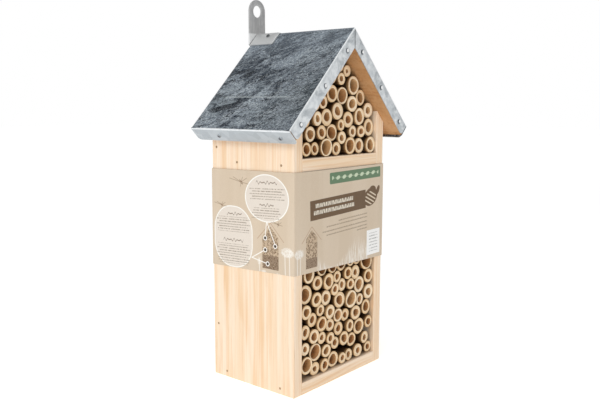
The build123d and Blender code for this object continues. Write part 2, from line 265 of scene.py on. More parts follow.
def weathered_zinc(scratch_down, scratch_y):
    """The dark rolled face of the roof sheet: clouded, with short bright strokes all over, and painted
    shade towards the front. The left slope has one scratch, so far down from the ridge and
    from one y to another, in millimetres."""
    finish = Finish("weathered_zinc")
    x, y, z = finish.apart(finish.place())
    down = abs(x) / FALL
    sockets = {0: down, 1: y, 2: x.rise(-1.0, 1.0) * OTHER_SLOPE}
    flat = finish.node("ShaderNodeCombineXYZ", {}, sockets)
    flat = finish.node("ShaderNodeMapping", {}, {0: flat, 2: (0, 0, STROKE_TURN)})

    def strokes(across, along, detail, rough, twist):
        point = finish.node("ShaderNodeMapping", {}, {0: flat, 3: (across, along, 1.0)})
        return finish.cloud(point, 1.0, detail, rough, twist)

    cloud = strokes(0.045, 0.026, 4.0, 0.62, 0.8)
    hue = strokes(0.017, 0.012, 2.0, 0.5, 0.0)
    streak = strokes(0.15, 0.045, 5.0, 0.68, 1.3)
    curl = strokes(0.36, 0.13, 3.0, 0.55, 1.8)
    knit = strokes(0.80, 0.24, 3.0, 0.60, 1.2)
    grit = strokes(1.10, 0.60, 3.0, 0.65, 0.8)
    calm = cloud.rise(0.42, 0.56) * 0.75 + 0.25
    thread = abs(curl - 0.5).fall(0.0, 0.055) * calm
    thin = abs(knit - 0.52).fall(0.0, 0.06)
    colour = finish.mix(cloud.rise(0.41, 0.58), paint(40, 50, 64), paint(122, 132, 143))
    colour = finish.mix(hue.rise(0.45, 0.70) * 0.40, colour, paint(88, 95, 90))
    colour = finish.mix(streak.rise(0.53, 0.63) * 0.75, colour, paint(150, 161, 169))
    colour = finish.mix(streak.fall(0.39, 0.50) * 0.90, colour, paint(18, 24, 35))
    colour = finish.mix(thread * 0.95, colour, paint(212, 222, 228))
    colour = finish.mix(thin * streak.rise(0.44, 0.56) * 0.40, colour, paint(176, 186, 192))
    # painted shade: darker towards the front of the slope and away from the ridge
    painted_front_shade = y.fall(-58.0, 10.0) * down.rise(4.0, 50.0)
    colour = finish.mix(painted_front_shade * 0.38, colour, paint(30, 38, 48))
    colour = finish.mix(down.fall(8.0, 40.0) * 0.28, colour, paint(150, 162, 174))
    colour = finish.mix(grit.fall(0.37, 0.46) * 0.75, colour, paint(18, 24, 33))
    colour = finish.mix(grit.rise(0.59, 0.70) * 0.65, colour, paint(198, 206, 210))
    scratch = abs(down + (streak - 0.5) * 0.6 - scratch_down).fall(0.25, 0.80)
    scratch = scratch * y.between(*scratch_y, 6.0)
    scratch = scratch * x.fall(-1.0, 1.0) * grit.rise(0.30, 0.55)
    colour = finish.mix(scratch * 0.9, colour, paint(194, 202, 204))
    return finish.done(
        Base_Color=colour,
        Metallic=0.45,
        Roughness=0.52 + grit * 0.18 - thread * 0.10,
        Specular_IOR_Level=0.3,
        Normal=finish.relief(streak * 0.5 + grit * 0.3 + curl * 0.4, 0.10),
    )


def bright_zinc(name, light, shade, cell=0.16, metallic=0.75):
    """Galvanised sheet: a faint spangle of cells, rubbed streaks and a few grey stains."""
    finish = Finish(name)
    spangle = finish.node("ShaderNodeSeparateColor", {}, {0: finish.cells(cell, "Color")})
    rub = finish.cloud(finish.place(scale=(0.5, 0.06, 0.5)), 1.0, 4.0, 0.6)
    stain = finish.cloud(finish.place(scale=(0.09, 0.07, 0.09), shift=(3, 9, 2)), 1.0, 4.0, 0.6, 0.8)
    colour = finish.mix(spangle * 0.55 + rub * 0.35, shade, light)
    colour = finish.mix(stain.rise(0.56, 0.74) * 0.40, colour, paint(146, 152, 154))
    return finish.done(
        Base_Color=colour,
        Metallic=metallic,
        Roughness=0.30 + rub * 0.16 + spangle * 0.08,
        Normal=finish.relief(rub * 0.6 + spangle * 0.25, 0.04),
    )


NAIL_SHADOW_SHIFT = 0.45  # how far in and down from a nail's middle its painted shadow lies, in mm


def nailed_zinc(nails):
    """The gable flanges' zinc, with a painted shadow at each nail's head, and a dark line of painted
    shade along the seam where the two flanges meet under the ridge."""
    finish = Finish("nailed_zinc")
    x, y, z = finish.apart(finish.place())
    spot = finish.node("ShaderNodeCombineXYZ", {}, {0: abs(x), 2: z})
    away = None
    for nail in nails:
        shadow_middle = (nail.x / MM - NAIL_SHADOW_SHIFT, 0, nail.z / MM - NAIL_SHADOW_SHIFT)
        sockets = {0: spot, 1: shadow_middle}
        apart = finish.node("ShaderNodeVectorMath", {"operation": "DISTANCE"}, sockets, "Value")
        away = away.lesser(apart) if away else apart
    rub = finish.cloud(finish.place(scale=(0.16, 0.5, 0.16)), 1.0, 4.0, 0.6)
    stain = finish.cloud(finish.place(scale=(0.07, 0.07, 0.07), shift=(3, 9, 2)), 1.0, 4.0, 0.62, 0.8)
    colour = finish.mix(rub.rise(0.36, 0.64), paint(212, 218, 222), paint(242, 246, 248))
    colour = finish.mix(stain.rise(0.50, 0.66) * 0.60, colour, paint(160, 168, 173))
    # painted shadow round and below each nail's head
    colour = finish.mix(away.fall(1.7, 2.5) * 0.75, colour, paint(84, 90, 96))
    # painted shade in the seam between the two flanges
    colour = finish.mix(abs(x).fall(0.35, 0.75) * 0.75, colour, paint(88, 94, 98))
    return finish.done(
        Base_Color=colour,
        Metallic=0.55,
        Roughness=0.34 + rub * 0.2,
        Normal=finish.relief(rub * 0.6 + stain * 0.4, 0.05),
    )


STRAP = 1.2  # the bracket's thickness in mm
BEND_DROP = 30.0  # from the bracket's top down to its bend, in mm


def bracket_steel(high):
    """Plated strap: brushed up the leg, with painted light below the bend, where the wings are lighter
    and a painted highlight lies on the leg, and a painted shadow line at the bend. It is measured from
    the bracket's highest corner."""
    finish = Finish("bracket_steel")
    x, y, z = finish.apart(finish.place())
    brush = finish.cloud(finish.place(scale=(0.9, 0.5, 0.08)), 1.0, 4.0, 0.6)
    bloom = finish.cloud(finish.place(scale=(0.22, 0.22, 0.22)), 1.0, 3.0, 0.6)
    bend = (high.z - BEND_DROP * MM) / MM
    front_face = high.y / MM - STRAP
    leg = y.rise(front_face - 0.1, front_face)
    wings = z.fall(bend - 0.2, bend + 1.8)
    colour = finish.mix(brush.rise(0.3, 0.7), paint(178, 178, 178), paint(196, 196, 196))
    colour = finish.mix(bloom.rise(0.45, 0.7) * 0.35, colour, paint(164, 165, 165))
    # painted light: the wings below the bend are lighter, and the leg's face there gets a near-white
    # painted highlight
    colour = finish.mix(wings * 0.8, colour, paint(214, 216, 216))
    colour = finish.mix(wings * leg * 0.9, colour, paint(252, 253, 253))
    # painted shadow line where the wings meet the leg at the bend
    painted_bend_shadow = y.between(front_face - 0.9, front_face - 0.15, 0.1) * z.fall(bend - 1.0, bend)
    colour = finish.mix(painted_bend_shadow * 0.85, colour, paint(70, 72, 74))
    return finish.done(
        Base_Color=colour,
        Metallic=0.55,
        Roughness=0.36 + brush * 0.18,
        Normal=finish.relief(brush * 0.6 + bloom * 0.4, 0.05),
    )


def nail_finish(name, light, shade, metallic=0.9, crown=None, painted_crown_shading=None):
    """Nail wire: a little pitted. The crown, as 0 to 1, is the top of the head, painted in a colour of
    its own that stands for light or shade on it.
    """
    finish = Finish(name)
    pit = finish.cloud(finish.place(scale=(1.6, 1.6, 1.6)), 1.0, 3.0, 0.6)
    colour = finish.mix(pit.rise(0.35, 0.7), shade, light)
    if crown:
        colour = finish.mix(crown(*finish.apart(finish.place())), colour, painted_crown_shading)
    return finish.done(
        Base_Color=colour,
        Metallic=metallic,
        Roughness=0.22 + pit * 0.25,
        Normal=finish.relief(pit, 0.05),
    )


def gable_crown(x, y, z):
    """The top of a dome that stands out from the front or the back of the roof."""
    low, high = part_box("gable_nails")
    middle = (low.y + high.y) / 2 / MM
    reach = (high.y - low.y) / 2 / MM
    return abs(y - middle).rise(reach - 0.30, reach - 0.05)


def eave_crown(x, y, z):
    """The top of a dome that stands out square to an eave."""
    low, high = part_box("zinc_roof")
    face = (2 * high.x - high.z) * FALL / MM
    return ((abs(x) - z) * FALL).rise(face + 0.62, face + 0.86)


# ---- pieces ----
def finished(mesh, name, materials, body, nodes):
    """Turns a bmesh into a piece that rides on a body and stands for CAD nodes."""
    data = bpy.data.meshes.new(name)
    mesh.to_mesh(data)
    mesh.free()
    for material in materials:
        data.materials.append(material)
    data.shade_smooth()
    data.set_sharp_from_angle(angle=SHARP)
    piece = bpy.data.objects.new(name, data)
    bpy.context.scene.collection.objects.link(piece)
    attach(piece, body)
    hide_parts(*nodes)
    return piece


def loose_parts(node):
    """The points of each separate body in a CAD node."""
    mesh = bmesh.new()
    mesh.from_mesh(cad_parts[node].data)
    bmesh.ops.remove_doubles(mesh, verts=mesh.verts, dist=SAME_PLACE)
    seen = set()
    parts = []
    for start in mesh.verts:
        if start in seen:
            continue
        island = [start]
        seen.add(start)
        for vert in island:
            for edge in vert.link_edges:
                other = edge.other_vert(vert)
                if other not in seen:
                    seen.add(other)
                    island.append(other)
        parts.append([vert.co.copy() for vert in island])
    mesh.free()
    return parts


def corners(places):
    return (
        Vector([min(place[axis] for place in places) for axis in range(3)]),
        Vector([max(place[axis] for place in places) for axis in range(3)]),
    )


def middles_right_of_ridge(node):
    """Middles of the front bodies on the right slope of a node that both slopes share."""
    middles = [sum(corners(places), Vector()) / 2 for places in loose_parts(node)]
    return [middle for middle in middles if middle.x > 0 and middle.y < 0]


def everything(mesh):
    return mesh.verts[:] + mesh.edges[:] + mesh.faces[:]


def cut(mesh, place, normal):
    """Splits the faces along a plane, and keeps both sides."""
    bmesh.ops.bisect_plane(mesh, geom=everything(mesh), dist=SAME_PLACE, plane_co=place, plane_no=normal)


def draw_out(mesh, edges, move):
    """Extrudes edges and moves the new ones."""
    made = bmesh.ops.extrude_edge_only(mesh, edges=edges)["geom"]
    verts = [item for item in made if isinstance(item, bmesh.types.BMVert)]
    bmesh.ops.translate(mesh, vec=move, verts=verts)


def creases(mesh, angle):
    """The edges where two faces meet at more than an angle."""
    shared = [edge for edge in mesh.edges if len(edge.link_faces) == 2]
    return [edge for edge in shared if edge.calc_face_angle(0) > angle]


def rounded(mesh, places, width, steps, affect="EDGES"):
    """Bevels edges or vertices. Returns the new faces."""
    made = bmesh.ops.bevel(
        mesh, geom=places, offset=width, offset_type="OFFSET", segments=steps,
        profile=0.5, affect=affect, material=-1,
    )
    return made["faces"]


def thickened(mesh, thickness, outward):
    """Gives a sheet its thickness behind the faces that look outward."""
    bmesh.ops.recalc_face_normals(mesh, faces=mesh.faces)
    test = max(mesh.faces, key=lambda face: face.calc_center_median().dot(outward))
    if test.normal.dot(outward) < 0:
        bmesh.ops.reverse_faces(mesh, faces=mesh.faces)
    for face in mesh.faces:
        face.normal_update()
    bmesh.ops.solidify(mesh, geom=mesh.faces[:], thickness=thickness)


# ---- zinc roof ----
SHEET = 0.6 * MM
GABLE_FLANGE = 11.1 * MM
FLANGE_CORNER = 3.0 * MM
CORNER_GAP = 1.3 * MM  # between an eave flange and the gable flange round the corner
SEAM_GAP = 0.4 * MM  # between the two gable flanges under the ridge
FOLD = 0.9 * MM
SHEET_CUTS = 9
SPARE = 20 * MM  # laid past the ridge, and cut away once the slope is turned
DENT = 0.14  # how far the sheet waves in and out, in mm
SLOPE_ZINC, EAVE_ZINC, FOLD_HIGHLIGHT, GABLE_ZINC = range(4)
FACING = 0.65  # the least part of a face's normal that makes it a slope or a gable flange


def roof_sheet(*zincs):
    """One slope is laid flat, its flanges are drawn down, and it is turned and mirrored. The
    zincs are for the slopes, the eaves and the underside, the folds, which carry a painted highlight,
    and the gable flanges."""
    low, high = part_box("zinc_roof")
    front, back, half = low.y, high.y, high.x
    run = half / FALL
    eave_flange = (high.z - half - low.z) / FALL
    mesh = bmesh.new()
    bmesh.ops.create_grid(mesh, x_segments=1, y_segments=1, size=0.5)
    bmesh.ops.scale(mesh, vec=(run + SPARE, back - front, 1), verts=mesh.verts)
    bmesh.ops.translate(mesh, vec=((run - SPARE) / 2, (front + back) / 2, 0), verts=mesh.verts)
    cut(mesh, (run - CORNER_GAP, 0, 0), (1, 0, 0))
    near = CORNER_GAP / 2

    def edges_where(test):
        return [edge for edge in mesh.edges if all(test(vert.co) for vert in edge.verts)]

    eave = edges_where(lambda p: p.x > run - near)
    gables = edges_where(lambda p: p.x < run - near and p.y < front + near)
    gables += edges_where(lambda p: p.x < run - near and p.y > back - near)
    draw_out(mesh, eave, (0, 0, -eave_flange))
    draw_out(mesh, gables, (0, 0, -GABLE_FLANGE))
    low_ends = [vert for vert in mesh.verts if vert.co.z < -near and vert.co.x > 0]
    rounded(mesh, low_ends, FLANGE_CORNER, 4, "VERTICES")
    # the rounded folds get a near-white zinc: a painted highlight along each fold
    for face in rounded(mesh, creases(mesh, SHARP), FOLD, 3):
        face.material_index = FOLD_HIGHLIGHT
    turn = Matrix.Rotation(SLOPE_ANGLE, 3, "Y")
    bmesh.ops.rotate(mesh, cent=(0, 0, 0), matrix=turn, verts=mesh.verts)
    bmesh.ops.bisect_plane(
        mesh, geom=everything(mesh), dist=SAME_PLACE,
        plane_co=(0, 0, 0), plane_no=(1, 0, 0), clear_inner=True,
    )
    for vert in mesh.verts:
        if vert.co.x < SAME_PLACE and vert.co.z < -2 * FOLD:
            vert.co.x = SEAM_GAP / 2
    bmesh.ops.mirror(mesh, geom=everything(mesh), matrix=Matrix.Identity(4), merge_dist=1e-5, axis="X")
    bmesh.ops.translate(mesh, vec=(0, 0, high.z), verts=mesh.verts)
    for step in range(1, SHEET_CUTS):
        down = half * step / SHEET_CUTS
        cut(mesh, (down, 0, high.z - down), (FALL, 0, -FALL))
        cut(mesh, (-down, 0, high.z - down), (-FALL, 0, -FALL))
        cut(mesh, (0, front + (back - front) * step / SHEET_CUTS, 0), (0, 1, 0))
    bmesh.ops.recalc_face_normals(mesh, faces=mesh.faces)
    for vert in mesh.verts:
        wave = noise.noise(vert.co * 28.0) + 0.4 * noise.noise(vert.co * 90.0)
        vert.co += vert.normal * DENT * MM * wave
    thickened(mesh, SHEET, Vector((0, 0, 1)))
    for face in mesh.faces:
        if face.material_index == FOLD_HIGHLIGHT:
            continue
        if face.normal.z > FACING:
            face.material_index = SLOPE_ZINC
        elif abs(face.normal.y) > FACING:
            face.material_index = GABLE_ZINC
        else:
            face.material_index = EAVE_ZINC
    return finished(mesh, "roof_sheet", zincs, "house", ["zinc_roof"])


# ---- canes ----
def measured_canes(node):
    """Middle, outside and bore radius, front and back of every cane in a CAD node."""
    canes = []
    for places in loose_parts(node):
        low, high = corners(places)
        middle = (low + high) / 2
        middle.y = 0
        radii = [math.hypot(place.x - middle.x, place.z - middle.z) for place in places]
        canes.append((middle, max(radii), min(radii), low.y, high.y))
    return canes


CARRIED = ("tone", "rim", "depth", "warm")  # what each point of a cane carries for its finish
SKIN, CUT, BORE = range(3)
CANE_SIDES = 28
CANE_SEED = 41
SAWN_EDGE = 0.28 * MM
WORN_BORE = 1.07  # the soft inner wall has crumbled, so the bore is a little wider


def add_cane(mesh, chance, middle, outside, bore, front, back):
    """One tube, spun from the outline of its wall, then made as uneven as a cut cane. The
    outline gives radius, y and rim, which runs from 1 at the skin to 0 at the bore."""
    layers = {name: mesh.verts.layers.float[name] for name in CARRIED}
    outline = [
        (outside, back, 1.0),
        (outside, front + 9 * MM, 1.0),
        (outside, front + 2 * MM, 1.0),
        (outside, front + SAWN_EDGE, 1.0),
        (outside - SAWN_EDGE, front, 0.92),
        ((outside + bore) / 2, front, 0.5),
        (bore + SAWN_EDGE, front, 0.08),
        (bore, front + SAWN_EDGE, 0.0),
        (bore, front + 4 * MM, 0.0),
        (bore, front + 14 * MM, 0.0),
        (bore, back, 0.0),
    ]
    verts = []
    for radius, y, rim in outline:
        vert = mesh.verts.new(middle + Vector((radius, y, 0)))
        vert[layers["rim"]] = rim
        verts.append(vert)
    edges = [mesh.edges.new(pair) for pair in zip(verts, verts[1:] + verts[:1])]
    before = len(mesh.faces)
    bmesh.ops.spin(
        mesh, geom=verts + edges, cent=middle, axis=(0, 1, 0), angle=math.tau,
        steps=CANE_SIDES, use_merge=True,
    )
    mesh.faces.ensure_lookup_table()
    walls = mesh.faces[before:]
    ring = {vert for face in walls for vert in face.verts}
    oval, lobe, swing = chance.uniform(0, 1), chance.uniform(0, 1), chance.uniform(0, math.tau)
    off = chance.uniform(0.0, 0.14) * (outside - bore)
    lean = Vector((chance.uniform(-0.05, 0.05), chance.uniform(-0.03, 0.05)))
    tone, warm = chance.random(), chance.random()
    seed = Vector((chance.uniform(0, 50), 0, chance.uniform(0, 50)))
    for vert in ring:
        away = vert.co - middle
        depth = away.y - front
        angle = math.atan2(away.z, away.x)
        radius = math.hypot(away.x, away.z)
        rim = vert[layers["rim"]]
        if rim > 0.5:
            bulge = 0.020 * oval * (math.cos(2 * angle + swing) - 1)
            bulge += 0.012 * lobe * (math.cos(3 * angle) - 1)
        else:
            bulge = 0.10 * oval * math.cos(2 * angle - swing)
            bulge += 0.06 * lobe * math.cos(3 * angle + 2 * swing)
        radius *= 1 + bulge
        radius += 0.10 * MM * noise.noise(vert.co * 500.0 + seed) * (1 if rim < 0.9 else -0.8)
        slip = off * (1 - rim)
        tilt = lean.x * away.x + lean.y * away.z
        saw = 0.10 * MM * noise.noise(vert.co * 900.0 + seed)
        near = max(0.0, 1 - depth / (3 * MM))
        vert.co = middle + Vector((
            radius * math.cos(angle) + slip * math.cos(swing),
            away.y + (tilt + saw) * near,
            radius * math.sin(angle) + slip * math.sin(swing),
        ))
        vert[layers["tone"]] = tone
        vert[layers["warm"]] = warm
        vert[layers["depth"]] = depth / MM
    for face in walls:
        rims = [vert[layers["rim"]] for vert in face.verts]
        face.material_index = SKIN if min(rims) > 0.95 else BORE if max(rims) < 0.05 else CUT


def cane_row(node, materials, chance):
    mesh = bmesh.new()
    for name in CARRIED:
        mesh.verts.layers.float.new(name)
    for middle, outside, bore, front, back in measured_canes(node):
        add_cane(mesh, chance, middle, outside, bore * WORN_BORE, front, back)
    bmesh.ops.recalc_face_normals(mesh, faces=mesh.faces)
    return finished(mesh, node.replace("canes", "reeds"), materials, "house", [node])


def cane_skin():
    finish = Finish("cane_skin")
    tone = finish.carried("tone")
    warm = finish.carried("warm")
    stripe = finish.cloud(finish.place(scale=(1.1, 0.03, 1.1)), 1.0, 4.0, 0.6)
    stain = finish.cloud(finish.place(scale=(0.16, 0.05, 0.16)), 1.0, 3.0, 0.6)
    colour = finish.mix(tone, paint(196, 156, 106), paint(166, 124, 78))
    colour = finish.mix(warm * 0.4, colour, paint(166, 112, 66))
    colour = finish.mix(stripe.rise(0.35, 0.70) * 0.35, colour, paint(206, 172, 122))
    colour = finish.mix(stain.rise(0.50, 0.72) * 0.60, colour, paint(112, 76, 44))
    # painted shade: the skin darkens with depth, where the canes shade one another
    colour = finish.mix(finish.carried("depth").rise(-0.4, 3.2) * 0.88, colour, paint(54, 33, 17))
    return finish.done(
        Base_Color=colour,
        Roughness=0.46 + stripe * 0.2,
        Normal=finish.relief(stripe, 0.10),
        Specular_IOR_Level=0.4,
    )


def cane_cut():
    """The sawn end: a pale soft ring at the bore, straw fibres, and a thin dark skin line."""
    finish = Finish("cane_cut")
    rim = finish.carried("rim")
    tone = finish.carried("tone")
    warm = finish.carried("warm")
    fibre = finish.cloud(finish.place(scale=(2.6, 2.6, 2.6)), 1.0, 3.0, 0.65)
    patch = finish.cloud(finish.place(scale=(0.22, 0.22, 0.22)), 1.0, 2.0)
    colour = finish.mix(tone, paint(255, 236, 206), paint(244, 214, 172))
    colour = finish.mix(warm * 0.30, colour, paint(224, 180, 124))
    colour = finish.mix(rim.rise(0.40, 0.98) * 0.45, colour, paint(214, 172, 120))
    colour = finish.mix(rim.fall(0.0, 0.40) * 0.55, colour, paint(254, 240, 214))
    colour = finish.mix(fibre.rise(0.50, 0.72) * 0.20, colour, paint(196, 154, 104))
    colour = finish.mix(patch.rise(0.52, 0.72) * 0.20, colour, paint(198, 152, 102))
    colour = finish.mix(rim.rise(0.93, 1.0) * 0.40, colour, paint(164, 120, 74))
    return finish.done(
        Base_Color=colour, Roughness=0.70, Normal=finish.relief(fibre, 0.14), Specular_IOR_Level=0.25
    )


def cane_bore():
    """Inside the cane: straw at the mouth, and browner the deeper it goes."""
    finish = Finish("cane_bore")
    tone = finish.carried("tone")
    warm = finish.carried("warm")
    depth = finish.carried("depth")
    stripe = finish.cloud(finish.place(scale=(1.3, 0.06, 1.3)), 1.0, 4.0, 0.6)
    colour = finish.mix(tone, paint(238, 200, 150), paint(200, 154, 104))
    colour = finish.mix(warm * 0.55, colour, paint(196, 128, 68))
    colour = finish.mix(depth.rise(1.0, 14.0) * 0.70, colour, paint(118, 78, 42))
    colour = finish.mix(stripe.rise(0.40, 0.70) * 0.30, colour, paint(226, 192, 140))
    return finish.done(
        Base_Color=colour, Roughness=0.62, Normal=finish.relief(stripe, 0.12), Specular_IOR_Level=0.3
    )


# ---- printed card band ----
KRAFT = paint(215, 197, 174)
CREAM = paint(228, 218, 206)
WHITE_INK = paint(250, 247, 240)
BROWN_INK = paint(98, 72, 42)
PRINT_FLOOR = 96.0  # just under the band's lower edge: grass and stems start here, in mm


class Print(Finish):
    """A printed face of the band: u runs across as it is read, v runs up, both in mm."""

    def __init__(self, name, side):
        super().__init__(name)
        x, y, z = self.apart(self.place())
        self.u = -y if side else x
        self.v = z
        wood = self.cloud(self.place(scale=(0.07, 0.07, 0.006)), 1.0, 3.0)
        self.speckle = self.cloud(self.place(scale=(1.4, 1.4, 1.4)), 1.0, 3.0, 0.6)
        self.ink = self.mix(wood.rise(0.35, 0.65) * 0.4, KRAFT, paint(204, 184, 158))

    def lay(self, mask, colour, strength=1.0):
        self.ink = self.mix(mask * strength, self.ink, colour)

    def turned(self, middle, degrees):
        """u and v from a middle, turned so that a line that climbs to the right is level."""
        angle = math.radians(degrees)
        u = self.u - middle[0]
        v = self.v - middle[1]
        return u * math.cos(angle) + v * math.sin(angle), v * math.cos(angle) - u * math.sin(angle)

    def oval(self, middle, half, degrees=0.0):
        """About how far outside an oval a point lies, in mm."""
        u, v = self.turned(middle, degrees)
        u = u / half[0]
        v = v / half[1]
        return ((u * u + v * v).root() - 1.0) * min(half)

    def slab(self, middle, half, radius=0.0, degrees=0.0):
        """How far outside a rectangle with round corners a point lies, in mm."""
        radius = max(radius, 0.3)
        u, v = self.turned(middle, degrees)
        u = (abs(u) - (half[0] - radius)).greater(0.0)
        v = (abs(v) - (half[1] - radius)).greater(0.0)
        return (u * u + v * v).root() - radius

    def filled(self, distance, grow=0.0):
        """1 inside a shape that is grown by so many mm, and 0 outside."""
        return distance.fall(grow - 0.12, grow + 0.12)

    def stroke(self, start, end, width):
        """A line between two points."""
        du, dv = end[0] - start[0], end[1] - start[1]
        length = math.hypot(du, dv)
        middle = ((start[0] + end[0]) / 2, (start[1] + end[1]) / 2)
        degrees = math.degrees(math.atan2(dv, du))
        return self.filled(self.slab(middle, (length / 2 + width, width), width, degrees), 0.1)

    def rows(self, middle, half, pitch, height, letter, degrees, swing=0.0):
        """Rows of marks that read as small print and say nothing. Swing makes them unequal."""
        u, v = self.turned(middle, degrees)
        row = (v / pitch + 0.5).fraction()
        row_number = v / pitch + 0.5 - row
        if swing:
            ragged = (row_number * 2.7 + middle[0]).sine() * swing
            inside = (abs(u) + ragged).fall(half[0] - swing, half[0] - swing + 0.4)
        else:
            inside = u.between(-half[0], half[0], 0.4)
        inside = inside * v.between(-half[1], half[1], 0.1)
        line = abs(row - 0.5).fall(height / pitch / 2, height / pitch / 2 + 0.10)
        sockets = {0: u / letter, 1: row_number * 3.7, 2: v / height * 0.4}
        marks = self.cloud(self.node("ShaderNodeCombineXYZ", {}, sockets), 1.0, 2.0, 0.6)
        return inside * line * marks.rise(0.40, 0.56)

    def scribble(self, middle, half, degrees):
        """A flourish in place of a handwritten heading."""
        u, v = self.turned(middle, degrees)
        wave = (u * 1.7).sine() * ((u * 0.6 + 1.0).sine() * 0.5 + 0.6) * half[1] * 0.8
        return abs(v - wave).fall(0.20, 0.58) * abs(u).fall(half[0] - 0.5, half[0] + 0.5)

    def card(self):
        grain = self.speckle.rise(0.35, 0.7)
        self.ink = self.mix(grain * 0.10, self.ink, paint(168, 148, 122))
        return self.done(
            Base_Color=self.ink,
            Roughness=0.44 + grain * 0.14,
            Normal=self.relief(self.speckle, 0.03),
            Specular_IOR_Level=0.4,
            Coat_Weight=0.12,
        )


def plain_print():
    return Print("card_plain", False).card()


def add_little_house(sheet, middle, half, roof, bottom_dark):
    """A drawing of the house: a body of dots, darker at the bottom, under a pitched roof."""
    base = middle[1] - half[1]
    body = sheet.filled(sheet.slab(middle, half))
    above = sheet.v - middle[1] - half[1]
    gable = abs(sheet.u - middle[0]) + above
    attic = gable.fall(half[0] * 0.92, half[0] * 0.98) * above.rise(-0.1, 0.1)
    eaves = abs(gable - roof).fall(0.3, 0.6) * (above + 3.0).rise(-0.1, 0.1)
    dots = sheet.cells(0.62, "Distance")
    rings = abs(dots - 0.34).fall(0.05, 0.16)
    house = (body + attic).lesser(1.0)
    sheet.lay(house, paint(182, 154, 122), 0.6)
    sheet.lay(house * rings, BROWN_INK, 0.95)
    shade = sheet.v.between(base, base + bottom_dark, 0.2) * body * dots.rise(0.25, 0.5)
    sheet.lay(shade, paint(88, 60, 36), 0.6)
    sheet.lay(eaves, paint(170, 128, 96), 0.6)


def add_seed_head(sheet, middle, half, stems):
    """A pale tuft on thin stems, as on a meadow flower. A stem has its top and its foot's u."""
    fluff = sheet.cloud(sheet.place(scale=(0.8, 0.8, 0.5)), 1.0, 3.0, 0.65)
    tuft = (sheet.oval(middle, half) + (fluff - 0.5) * 5.0).fall(-0.5, 0.5)
    sheet.lay(tuft * (fluff.rise(0.35, 0.65) * 0.65 + 0.35), WHITE_INK, 0.85)
    for top, foot in stems:
        sheet.lay(sheet.stroke((foot, PRINT_FLOOR), top, 0.35), WHITE_INK, 0.6)


# legs and feelers: length against the insect's size, and slope in degrees
LEGS = ((1.5, -10.0), (1.1, -22.0), (-0.8, 30.0), (-0.9, -8.0), (-0.5, 68.0), (0.4, 80.0))


def add_insect(sheet, middle, size):
    """A sketch of an insect: legs and feelers drawn from one point, and a small body."""
    for reach, slope in LEGS:
        end = (
            middle[0] - reach * size * math.cos(math.radians(slope)),
            middle[1] - reach * size * math.sin(math.radians(slope)),
        )
        sheet.lay(sheet.stroke(middle, end, 0.14), paint(126, 98, 66), 0.6)
    body = sheet.oval(middle, (0.30 * size, 0.12 * size), -40.0)
    sheet.lay(sheet.filled(body) * sheet.speckle.rise(0.35, 0.6), paint(112, 82, 50), 0.8)


def side_print():
    """Two cream panels of small print, with lines that lead to a drawing of the house."""
    sheet = Print("card_side", True)
    tilt = 2.5
    add_little_house(sheet, (21.0, 114.0), (8.5, 13.0), 11.0, 11.0)
    for start, end in (
        ((17.0, 138.0), (15.5, 127.0)),
        ((17.5, 138.0), (26.0, 121.0)),
        ((1.0, 108.0), (15.5, 116.0)),
        ((1.0, 108.0), (18.0, 105.0)),
    ):
        sheet.lay(sheet.stroke(start, end, 0.30), WHITE_INK, 0.95)
    for spot in ((15.5, 125.5), (26.0, 120.0), (15.5, 116.0), (18.0, 105.0)):
        ring = sheet.oval(spot, (2.0, 2.0))
        sheet.lay(sheet.filled(ring), WHITE_INK)
        sheet.lay(sheet.filled(ring, -0.75), paint(58, 40, 26))
    round_panel = sheet.oval((17.0, 157.0), (23.2, 19.0))
    long_panel = sheet.slab((-20.0, 122.5), (22.0, 25.5), 20.0)
    for panel in (long_panel, round_panel):
        sheet.lay(sheet.filled(panel), WHITE_INK)
        sheet.lay(sheet.filled(panel, -0.9), CREAM)
    for middle, half in (
        ((17.0, 169.3), (11.0, 1.5)),
        ((17.0, 151.6), (7.5, 1.5)),
        ((-18.5, 141.4), (8.5, 1.5)),
        ((-20.0, 119.6), (11.5, 1.5)),
    ):
        sheet.lay(sheet.scribble(middle, half, tilt), paint(128, 112, 96), 0.95)
    for middle, half, pitch in (
        ((17.5, 160.4), (18.5, 4.4), 2.05),
        ((16.5, 145.2), (15.5, 4.2), 2.05),
        ((-20.0, 132.6), (19.0, 6.2), 2.05),
        ((-20.0, 108.2), (19.0, 8.2), 2.05),
    ):
        rows = sheet.rows(middle, half, pitch, 0.62, 0.62, tilt, 1.6)
        sheet.lay(rows, paint(140, 124, 106), 0.9)
    for middle, size in (((-10.5, 168.0), 9.0), ((-33.0, 147.5), 6.0), ((29.0, 137.5), 5.0)):
        add_insect(sheet, middle, size)
    add_seed_head(sheet, (38.5, 116.5), (6.5, 3.8), (((36.0, 114.0), 36.5), ((40.5, 114.0), 41.0)))
    for middle, half in (
        ((9.0, 106.0), (1.6, 3.2)),
        ((14.0, 98.0), (2.4, 1.6)),
        ((30.0, 97.5), (2.6, 1.2)),
    ):
        add_seed_head(sheet, middle, half, ((middle, middle[0] + 0.6),))
    return sheet.card()


def blades(sheet, width, lean, height, seed):
    """Blades of grass: noise drawn out upwards, and leaning by so much for each mm of height."""
    across = sheet.u * width + (sheet.v - PRINT_FLOOR) * lean
    point = sheet.node("ShaderNodeCombineXYZ", {}, {0: across, 1: sheet.v * height, 2: seed})
    return sheet.cloud(point, 1.0, 2.0, 0.5).rise(0.50, 0.60)


